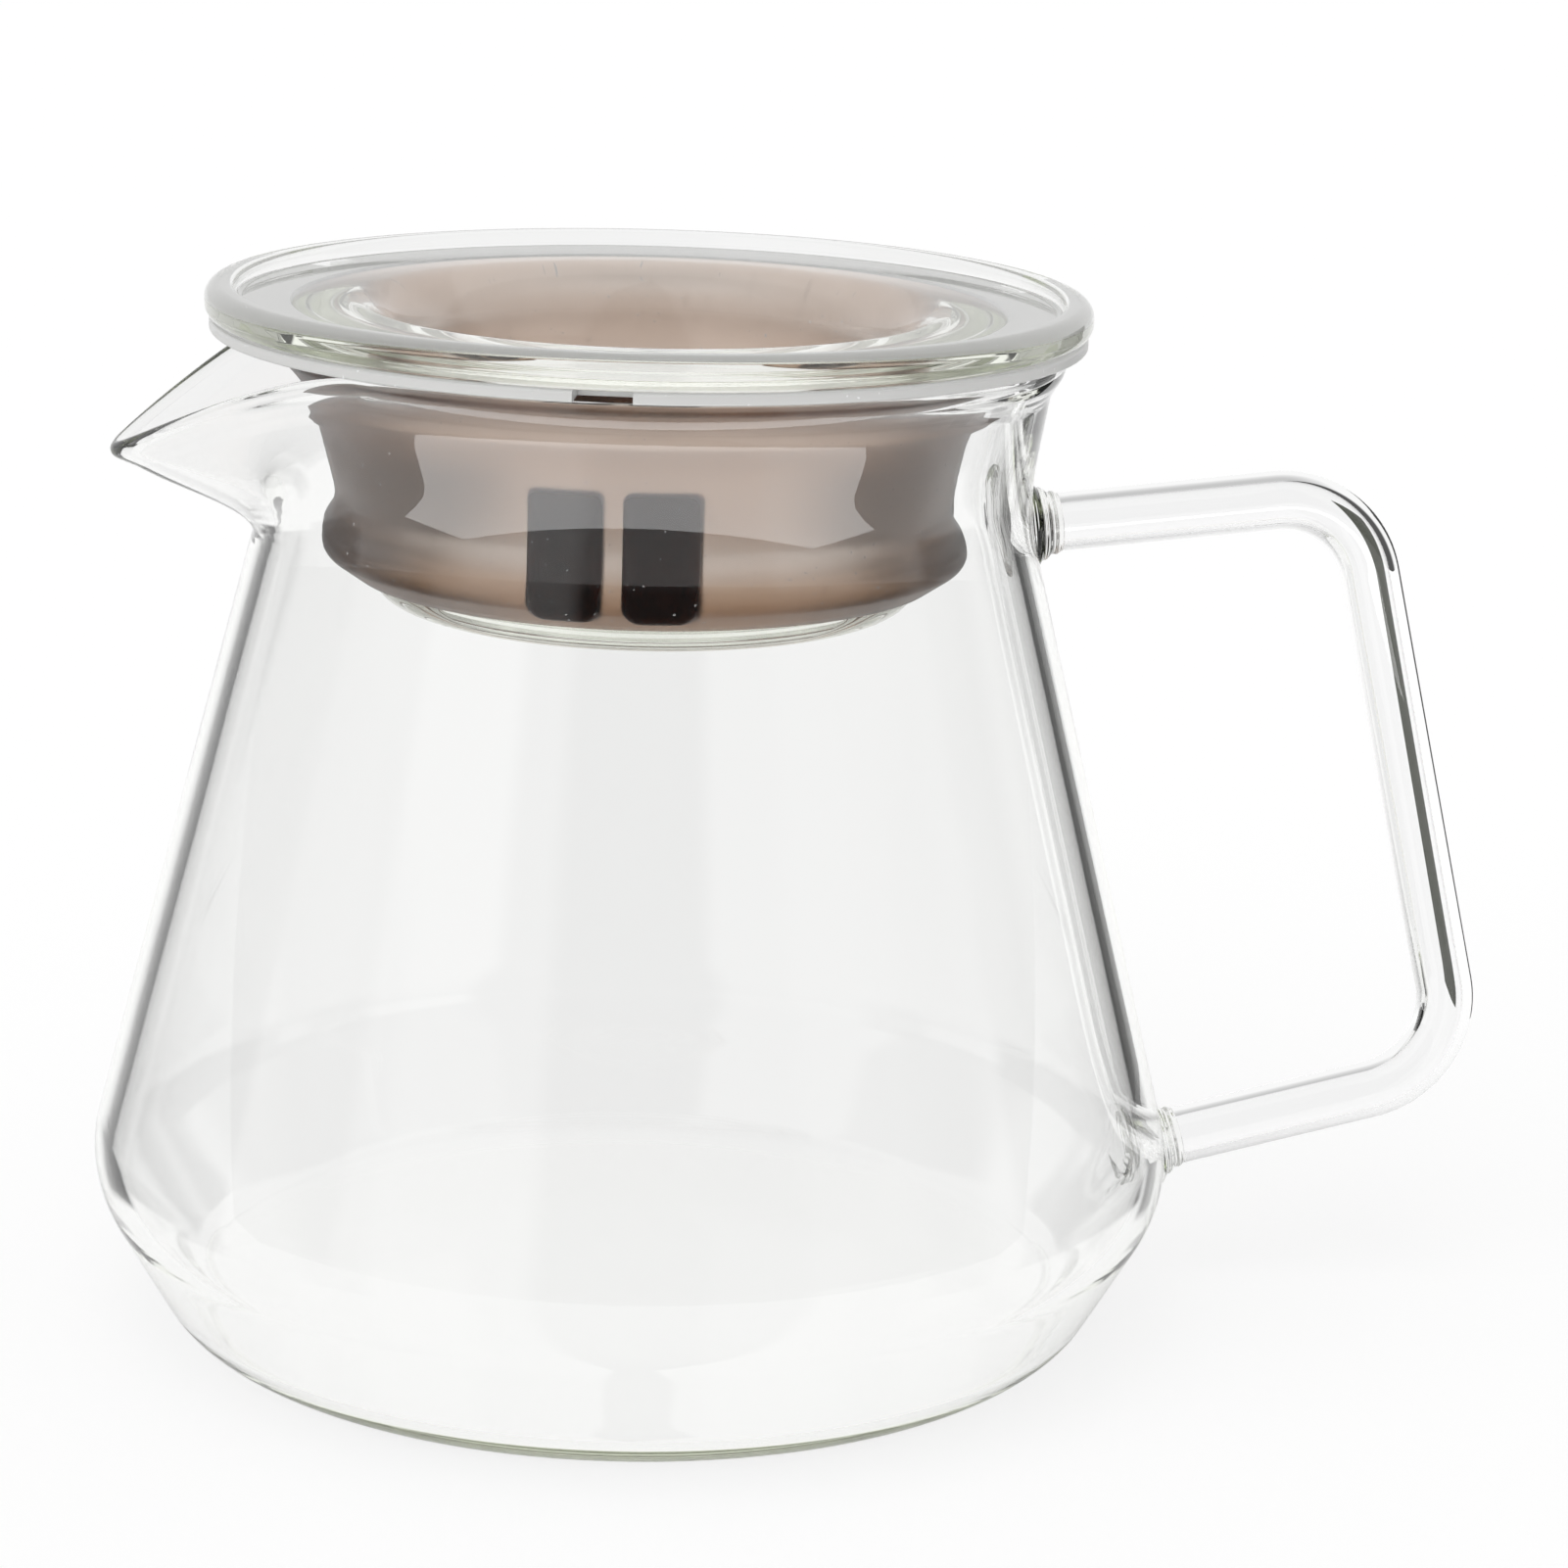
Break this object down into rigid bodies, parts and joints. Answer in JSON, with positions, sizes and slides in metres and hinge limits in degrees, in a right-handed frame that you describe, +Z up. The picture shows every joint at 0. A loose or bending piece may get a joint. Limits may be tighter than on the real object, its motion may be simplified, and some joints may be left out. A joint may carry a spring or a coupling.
{
  "type": "glass coffee server with lid",
  "caption": "Conical glass coffee server with a pulled spout, a fused glass rod handle and a lift-off glass lid that wears a silicone seal.",
  "frame": {"origin": "centre of the flat foot, on the table", "axes": "+Z up the body's axis, +X towards the handle, -X towards the spout"},
  "size_m": [0.1573, 0.12, 0.1155],
  "materials": {
    "clear_glass": "clear, fire polished, faint green in thick edges",
    "lid_glass": "clear pressed glass, faint green at the edge",
    "smoke_silicone": "translucent smoke silicone, satin gloss"
  },
  "bodies": {
    "carafe": {"carafe_body": "clear_glass", "handle_rod": "clear_glass", "handle_upper_weld": "clear_glass", "handle_lower_weld": "clear_glass"},
    "lid": {"lid_glass": "lid_glass"},
    "seal": {"lid_seal": "smoke_silicone"}
  },
  "joints": [
    {"name": "lid_lift", "type": "slide", "parent": "carafe", "child": "lid", "axis": [0, 0, 1], "range_m": [0, 0.05]},
    {"name": "seal_turn", "type": "hinge", "parent": "lid", "child": "seal", "pos_m": [0, 0, 0.1], "axis": [0, 0, 1], "continuous": true}
  ]
}
